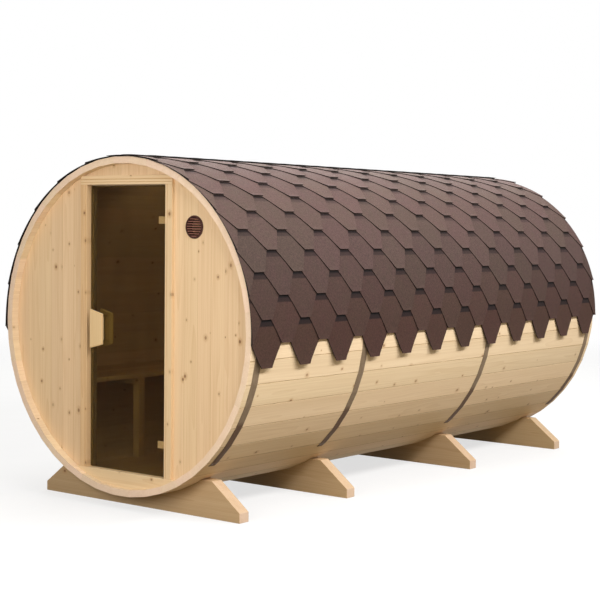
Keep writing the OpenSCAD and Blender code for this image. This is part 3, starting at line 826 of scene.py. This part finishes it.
def add_tab(bm, layers, side, course, centre, own_tone):
    """The upper face of one tab and of the strip above it, cut at the ends of the roof."""
    points = {}

    def point(rise, y):
        key = (round(rise, 6), round(y, 6))
        if key not in points:
            angle = EAVE - (course + rise) * EXPOSURE
            v = bm.verts.new(shingle_point(side, angle, y, course_height(side, rise)))
            v[layers["shingle"]] = Vector((side, rise, course))
            v[layers["tone"]] = own_tone
            points[key] = v
        return points[key]

    def held(y):
        return min(max(y, roof_low.y), roof_high.y)

    def strip(low, high, low_ys, high_ys):
        for i in range(len(low_ys) - 1):
            corners = [(low, held(low_ys[i])), (low, held(low_ys[i + 1])),
                       (high, held(high_ys[i + 1])), (high, held(high_ys[i]))]
            ring = list(dict.fromkeys((r, round(y, 6)) for r, y in corners))
            if len(ring) > 2 and len({y for _, y in ring}) > 1:
                bm.faces.new([point(r, y) for r, y in ring])

    levels = tab_levels(centre)
    for low, high in zip(levels, levels[1:]):
        strip(low, high, [centre - tab_half_width(low), centre + tab_half_width(low)],
              [centre - tab_half_width(high), centre + tab_half_width(high)])
    columns = [centre + y for y in (-TAB_PITCH / 2, -TAB_HIGH, TAB_HIGH, TAB_PITCH / 2)]
    rows = [1 + (COURSE_TOP - 1) * i / TAB_ROWS for i in range(TAB_ROWS + 1)]
    for low, high in zip(rows, rows[1:]):
        strip(low, high, columns, columns)


def add_ridge_cap(bm, layers, front, own_tone):
    """One thin bent piece that follows the top courses over the ridge, lapped over the piece before it."""
    back = min(front + RIDGE_LENGTH, roof_high.y)
    grid = []
    lap = RIDGE_LAP if front > roof_low.y else 0.0
    for y, lift in ((front, RIDGE_SHEET + lap), (back, RIDGE_SHEET)):
        row = []
        for i in range(RIDGE_STEPS + 1):
            angle = RIDGE_HALF * (2 * i / RIDGE_STEPS - 1)
            rise = (EAVE - abs(angle)) / EXPOSURE - (COURSES - 1)
            side = 1 if angle > 0 else -1
            v = bm.verts.new(shingle_point(1, angle, y, course_height(side, rise) + lift))
            # The rise grows towards the next cap's front edge, so the printed band and the painted contact
            # shadow fall just in front of it.
            v[layers["shingle"]] = Vector((side, 1 + (y - front) / RIDGE_PITCH, COURSES))
            v[layers["tone"]] = own_tone
            row.append(v)
        grid.append(row)
    for i in range(RIDGE_STEPS):
        bm.faces.new([grid[0][i], grid[0][i + 1], grid[1][i + 1], grid[1][i]])


def thicken(bm, layers):
    """Closes sheets into solids: an underside nearer the barrel's axis, and walls round each outline."""
    tops = bm.faces[:]
    rims = [e for e in bm.edges if e.is_boundary]
    under = {}
    for v in bm.verts[:]:
        side, rise, course = v[layers["shingle"]]
        depth = RIDGE_SHEET
        if course < COURSES:
            depth = max(min(SHEET, course_height(round(side), rise)), THINNEST)
        inward = Vector((v.co.x, 0, v.co.z - AXIS_Z)).normalized() * depth
        made = bm.verts.new(v.co - inward)
        made[layers["shingle"]] = v[layers["shingle"]]
        made[layers["tone"]] = v[layers["tone"]]
        under[v] = made
    for f in tops:
        made = bm.faces.new([under[v] for v in reversed(f.verts)])
        made.material_index = 1
    for e in rims:
        a, b = e.verts
        made = bm.faces.new([a, b, under[b], under[a]])
        made.material_index = 1


def shingle_roof():
    """Courses of hexagonal tabs on both sides and a row of caps along the ridge."""
    rng = random.Random(700)
    bm = bmesh.new()
    layers = {"shingle": bm.verts.layers.float_vector.new("shingle"),
              "tone": bm.verts.layers.float.new("tone")}
    tabs = math.ceil((roof_high.y - roof_low.y) / TAB_PITCH) + 1
    for side in (1, -1):
        for course in range(COURSES):
            start = roof_low.y + FIRST_TAB - (TAB_PITCH / 2 if course % 2 else 0)
            for i in range(tabs):
                centre = start + i * TAB_PITCH
                own_tone = rng.random()
                if centre - TAB_PITCH / 2 < roof_high.y:
                    add_tab(bm, layers, side, course, centre, own_tone)
    front = roof_low.y
    while front < roof_high.y - RIDGE_PITCH / 2:
        add_ridge_cap(bm, layers, front, rng.random())
        front += RIDGE_PITCH
    thicken(bm, layers)
    roof = place(bm, "shingle_roof", SHINGLE, BODY, ["roof_skin"])
    roof.data.materials.append(BITUMEN)


shingle_roof()


# Metal, plastic and glass

def eased(name, edge, material, body):
    """One piece with eased edges for a node."""
    bm = cad_mesh(name)
    ease_edges(bm, edge)
    return place(bm, f"{name}_eased", material, body, [name])


def add_screw(bm, at, out):
    """A tapered screw head with a dished top."""
    turn = out.to_track_quat("Z", "Y").to_matrix().to_4x4()
    made = bmesh.ops.create_cone(
        bm, cap_ends=True, segments=SCREW_SIDES, radius1=SCREW_R, radius2=SCREW_R * SCREW_TOP_SHARE,
        depth=SCREW_H, matrix=Matrix.Translation(at + out * SCREW_H / 2) @ turn)
    tops = {f for v in made["verts"] for f in v.link_faces if f.normal.dot(out) > SCREW_FACING}
    bmesh.ops.inset_region(bm, faces=list(tops), thickness=SCREW_R * SCREW_RIM_SHARE)
    lowered = {v for f in tops for v in f.verts}
    bmesh.ops.translate(bm, verts=list(lowered), vec=-out * SCREW_H * SCREW_DISH_SHARE)


def screw_heads():
    """Two screws through each end of each band."""
    bm = bmesh.new()
    seat = STAVE_R + BAND_T
    angle = BAND_END - SCREW_FROM_END
    for name in BAND_NODES:
        low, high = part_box(name)
        middle = (low.y + high.y) / 2
        for side in (1, -1):
            out = Vector((side * math.sin(angle), 0, math.cos(angle)))
            for shift in (-SCREW_OFF, SCREW_OFF):
                add_screw(bm, Vector((0, middle + shift, AXIS_Z)) + out * seat, out)
    place(bm, "band_screws", ZINC, BODY)


def keep_with(name, material):
    """Leaves a node's own shape and gives it a finish."""
    data = frame["nodes"][name].data
    data.materials.clear()
    data.materials.append(material)


for band in BAND_NODES:
    eased(band, BAND_EDGE, BAND_STEEL, BODY)
screw_heads()
eased("hinge_leaves", METAL_EDGE, BRASS, BODY)
eased("hinge_clamps", METAL_EDGE, BRASS, DOOR)
eased("door_glass", GLASS_EDGE, GLASS, DOOR)
keep_with("vent_grille", VENT_BROWN)


# Stage

def seen_directly(tree):
    """1 for rays from the camera, and for those that metal and glass pass on."""
    path = node(tree, "ShaderNodeLightPath").outputs
    share = maths(tree, "MAXIMUM", path["Is Camera Ray"], path["Is Glossy Ray"])
    return maths(tree, "MAXIMUM", share, path["Is Transmission Ray"])


def floor_material():
    """Pale and faintly mottled where it is seen, darker in the light it throws back, clear far away."""
    material, tree, shader = new_material("studio_floor")
    spot = node(tree, "ShaderNodeTexCoord").outputs["Object"]
    direct = seen_directly(tree)
    mottle = span(tree, noise(tree, spot, 3.0), 0.3, 0.7, 0.97, 1.0)
    pale = blend(tree, direct, (*FLOOR_BOUNCE, 1), (*FLOOR_SEEN, 1))
    give(tree, shader.inputs["Base Color"], shaded(tree, pale, mottle))
    shader.inputs["Roughness"].default_value = 0.9
    shader.inputs["Specular IOR Level"].default_value = 0.0
    white = node(tree, "ShaderNodeEmission", {"Color": (*WHITE, 1), "Strength": 1.0})
    lit = node(tree, "ShaderNodeMixShader", {0: maths(tree, "MULTIPLY", direct, FLOOR_GLOW)})
    tree.links.new(shader.outputs["BSDF"], lit.inputs[1])
    tree.links.new(white.outputs["Emission"], lit.inputs[2])
    far = node(tree, "ShaderNodeVectorMath", {0: spot}, operation="LENGTH").outputs["Value"]
    faded = span(tree, far, FLOOR_FADE[0] * FLOOR_R, FLOOR_FADE[1] * FLOOR_R, smooth=True)
    clear = node(tree, "ShaderNodeBsdfTransparent")
    fade = node(tree, "ShaderNodeMixShader", {0: faded})
    tree.links.new(lit.outputs[0], fade.inputs[1])
    tree.links.new(clear.outputs["BSDF"], fade.inputs[2])
    output = next(n for n in tree.nodes if n.type == "OUTPUT_MATERIAL")
    tree.links.new(fade.outputs[0], output.inputs["Surface"])
    return material


def make_floor():
    """A round floor that fades into the white background far from the object."""
    bm = bmesh.new()
    bmesh.ops.create_circle(bm, cap_ends=True, segments=FLOOR_SIDES, radius=FLOOR_R)
    mesh = bpy.data.meshes.new("studio_floor")
    bm.to_mesh(mesh)
    bm.free()
    mesh.materials.append(floor_material())
    floor = bpy.data.objects.new("studio_floor", mesh)
    bpy.context.scene.collection.objects.link(floor)


def make_world():
    """White where it is seen directly, and a dim warm sky for all other light."""
    world = bpy.data.worlds.new("studio")
    bpy.context.scene.world = world
    world.use_nodes = True
    tree = world.node_tree
    tree.nodes.clear()
    sky = node(tree, "ShaderNodeBackground", {"Color": (*SKY_COLOUR, 1), "Strength": SKY})
    white = node(tree, "ShaderNodeBackground", {"Color": (*WHITE, 1), "Strength": 1.0})
    both = node(tree, "ShaderNodeMixShader", {0: seen_directly(tree)})
    tree.links.new(sky.outputs[0], both.inputs[1])
    tree.links.new(white.outputs[0], both.inputs[2])
    output = tree.nodes.new("ShaderNodeOutputWorld")
    tree.links.new(both.outputs[0], output.inputs["Surface"])


def area_lamp(name, at, aim, size, power, colour):
    """A lamp that faces its aim: a disc of one size, or a strip of two with its length along the barrel."""
    data = bpy.data.lights.new(name, "AREA")
    if isinstance(size, tuple):
        data.shape = "RECTANGLE"
        data.size, data.size_y = size
    else:
        data.shape = "DISK"
        data.size = size
    data.energy = power
    data.color = colour
    lamp = bpy.data.objects.new(name, data)
    bpy.context.scene.collection.objects.link(lamp)
    back = (at - aim).normalized()
    side = Vector((0, 1, 0)).cross(back).normalized()
    turn = Matrix((side, back.cross(side), back)).transposed().to_4x4()
    lamp.matrix_world = Matrix.Translation(at) @ turn


def heading(turn, rise):
    """A direction turned from the barrel's front towards its right side, and raised."""
    return Vector((math.sin(turn) * math.cos(rise), -math.cos(turn) * math.cos(rise), math.sin(rise)))


def make_lamps():
    """A long strip above the right side, lamps in front, overhead and behind, and one in the room."""
    beside = Vector((0, KEY_ALONG, AXIS_Z))
    right = Vector((math.cos(KEY_RISE), 0, math.sin(KEY_RISE)))
    strip = (KEY_WIDTH, KEY_LENGTH)
    area_lamp("key", beside + right * KEY_FAR, beside, strip, KEY_POWER, KEY_COLOUR)
    aim = Vector((0, 0, AXIS_Z))
    ahead = aim + heading(FILL_TURN, FILL_RISE) * FILL_FAR
    area_lamp("fill", ahead, aim, FILL_SIZE, FILL_POWER, FILL_COLOUR)
    overhead = aim + Vector((0, 0, TOP_HEIGHT))
    area_lamp("top", overhead, aim, TOP_SIZE, TOP_POWER, WHITE)
    behind = aim + heading(BACK_TURN, BACK_RISE) * BACK_FAR
    area_lamp("back", behind, aim, BACK_SIZE, BACK_POWER, WHITE)
    over_door = Vector((0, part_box("front_wall_top")[1].y + ROOM_BACK, ring_high.z - ROOM_DROP))
    area_lamp("room", over_door, aim, ROOM_SIZE, ROOM_POWER, ROOM_COLOUR)


def make_camera():
    """The photograph's camera: its axes from yaw, pitch and roll, its off-centre frame from the shift."""
    forward = Vector((math.sin(CAMERA_YAW) * math.cos(CAMERA_PITCH),
                      math.cos(CAMERA_YAW) * math.cos(CAMERA_PITCH), math.sin(CAMERA_PITCH)))
    level = forward.cross(Vector((0, 0, 1))).normalized()
    above = level.cross(forward)
    right = level * math.cos(CAMERA_ROLL) + above * math.sin(CAMERA_ROLL)
    up = above * math.cos(CAMERA_ROLL) - level * math.sin(CAMERA_ROLL)
    data = bpy.data.cameras.new("photo_camera")
    data.sensor_width = SENSOR
    data.lens = FOCAL_PX * SENSOR / PICTURE
    data.shift_x = (PICTURE / 2 - PRINCIPAL[0]) / PICTURE
    data.shift_y = (PRINCIPAL[1] - PICTURE / 2) / PICTURE
    camera = bpy.data.objects.new("photo_camera", data)
    bpy.context.scene.collection.objects.link(camera)
    turn = Matrix((right, up, -forward)).transposed().to_4x4()
    camera.matrix_world = Matrix.Translation(CAMERA_AT) @ turn
    bpy.context.scene.camera = camera


make_floor()
make_world()
make_lamps()
make_camera()
bpy.context.scene.view_settings.view_transform = "Standard"
